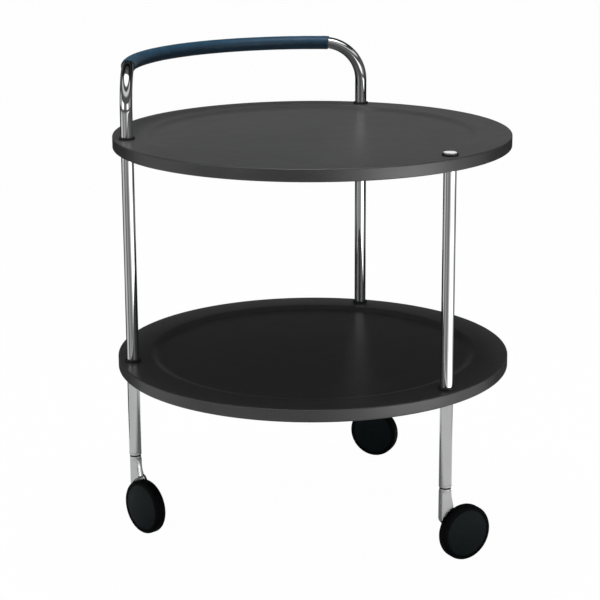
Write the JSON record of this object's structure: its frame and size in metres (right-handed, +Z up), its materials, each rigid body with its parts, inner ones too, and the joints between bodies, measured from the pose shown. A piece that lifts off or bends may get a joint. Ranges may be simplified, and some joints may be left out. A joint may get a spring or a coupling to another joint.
{
  "type": "serving trolley",
  "caption": "Round serving trolley with dished trays on tube legs, a bent tube handle in a leather sleeve, and swivel casters with one-sided arms.",
  "frame": {"origin": "on the floor under the middle of the round trays", "axes": "+Z up; +Y from the middle towards the handle; the single front leg is at -Y"},
  "size_m": [0.58, 0.5898, 0.6937],
  "materials": {
    "lacquered_board": "black satin lacquer on board",
    "chromed_tube": "polished chrome",
    "chromed_trim": "polished chrome on cast or turned metal",
    "leather": "dark petrol blue smooth leather, sewn along its inner side",
    "spacer_plastic": "black moulded plastic",
    "insert_brass": "turned brass, hidden",
    "zinc_steel": "zinc-plated steel",
    "wheel_plastic": "black moulded plastic with a soft sheen",
    "tyre_rubber": "black soft tyre"
  },
  "bodies": {
    "frame": {"upper_tray": "lacquered_board", "lower_tray": "lacquered_board", "lower_tube_front": "chromed_tube", "lower_tube_left": "chromed_tube", "lower_tube_right": "chromed_tube", "middle_tube_front": "chromed_tube", "middle_tube_left": "chromed_tube", "middle_tube_right": "chromed_tube", "handle_tube": "chromed_tube", "handle_grip": "leather", "lower_tray_rings": "spacer_plastic", "upper_tray_rings": "spacer_plastic", "cap_screw": "chromed_trim", "lower_tube_inserts": "insert_brass", "middle_tube_bottom_inserts": "insert_brass", "middle_tube_top_inserts": "insert_brass", "handle_tube_inserts": "insert_brass", "lower_tray_studs": "zinc_steel", "upper_tray_studs": "zinc_steel", "caster_socket_front": "chromed_trim", "caster_socket_left": "chromed_trim", "caster_socket_right": "chromed_trim"},
    "caster_front": {"caster_washer_front": "spacer_plastic", "caster_stem_front": "zinc_steel", "caster_clip_front": "zinc_steel", "caster_body_front": "chromed_trim", "wheel_axle_front": "zinc_steel"},
    "wheel_front": {"wheel_core_front": "wheel_plastic", "wheel_tyre_front": "tyre_rubber", "wheel_cap_front": "wheel_plastic"},
    "caster_left": {"caster_washer_left": "spacer_plastic", "caster_stem_left": "zinc_steel", "caster_clip_left": "zinc_steel", "caster_body_left": "chromed_trim", "wheel_axle_left": "zinc_steel"},
    "wheel_left": {"wheel_core_left": "wheel_plastic", "wheel_tyre_left": "tyre_rubber", "wheel_cap_left": "wheel_plastic"},
    "caster_right": {"caster_washer_right": "spacer_plastic", "caster_stem_right": "zinc_steel", "caster_clip_right": "zinc_steel", "caster_body_right": "chromed_trim", "wheel_axle_right": "zinc_steel"},
    "wheel_right": {"wheel_core_right": "wheel_plastic", "wheel_tyre_right": "tyre_rubber", "wheel_cap_right": "wheel_plastic"}
  },
  "joints": [
    {"name": "swivel_front", "type": "hinge", "parent": "frame", "child": "caster_front", "pos_m": [0, -0.271, 0.11], "axis": [0, 0, 1], "continuous": true},
    {"name": "roll_front", "type": "hinge", "parent": "caster_front", "child": "wheel_front", "pos_m": [0.02799, -0.28359, 0.04], "axis": [-0.2079, -0.9781, 0], "continuous": true},
    {"name": "swivel_left", "type": "hinge", "parent": "frame", "child": "caster_left", "pos_m": [-0.23469, 0.1355, 0.11], "axis": [0, 0, 1], "continuous": true},
    {"name": "roll_left", "type": "hinge", "parent": "caster_left", "child": "wheel_left", "pos_m": [-0.24172, 0.10562, 0.04], "axis": [-0.9998, 0.0175, 0], "continuous": true},
    {"name": "swivel_right", "type": "hinge", "parent": "frame", "child": "caster_right", "pos_m": [0.23469, 0.1355, 0.11], "axis": [0, 0, 1], "continuous": true},
    {"name": "roll_right", "type": "hinge", "parent": "caster_right", "child": "wheel_right", "pos_m": [0.23938, 0.10516, 0.04], "axis": [-0.9336, -0.3584, 0], "continuous": true}
  ]
}
